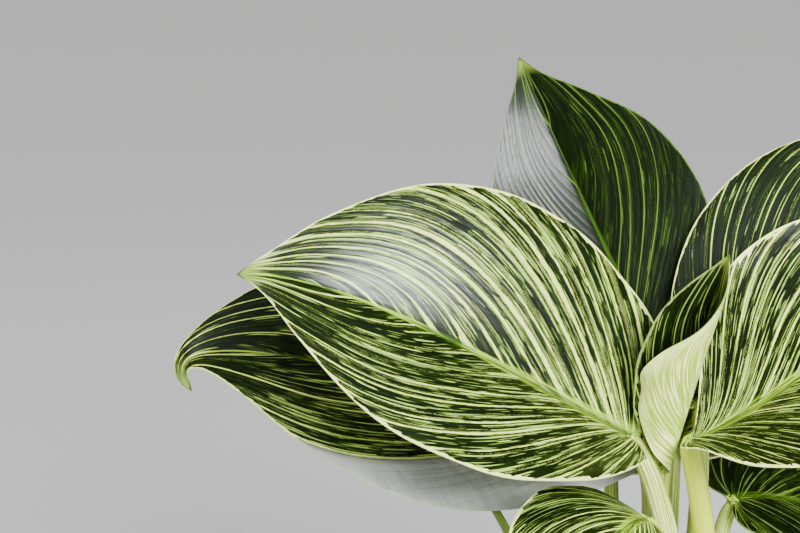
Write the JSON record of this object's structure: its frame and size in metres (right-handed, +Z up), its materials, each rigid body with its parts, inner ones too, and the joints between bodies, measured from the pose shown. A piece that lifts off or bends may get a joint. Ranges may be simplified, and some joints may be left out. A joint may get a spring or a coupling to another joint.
{
  "type": "potted philodendron",
  "caption": "Self-heading philodendron with pointed oval leaves, dark green with cream stripes along their veins, on upright stalks from a short stem in a plain clay pot of potting mix.",
  "frame": {"origin": "centre of the pot's flat underside", "axes": "+Z up, along the pot's axis; +Y away from the picture's camera; +X to the camera's right"},
  "size_m": [0.3445, 0.3046, 0.4111],
  "materials": {
    "leaf": "satin",
    "stem": "matte",
    "soil": "matte",
    "pot": "matte"
  },
  "bodies": {
    "root": {"pot": "pot", "soil": "soil", "stem": "stem", "leaf_left_upper": "leaf", "leaf_left_lower": "leaf", "leaf_back_upright": "leaf", "leaf_new_rolled": "leaf", "leaf_right_back": "leaf", "leaf_right_front": "leaf", "leaf_front_left": "leaf", "leaf_right_low_back": "leaf", "leaf_back_low": "leaf", "leaf_left_back_small": "leaf", "leaf_back_left": "leaf", "leaf_back_right": "leaf", "leaf_front_low_right": "leaf", "leaf_right_low": "leaf", "leaf_front_low": "leaf", "leaf_left_low": "leaf"}
  },
  "joints": []
}
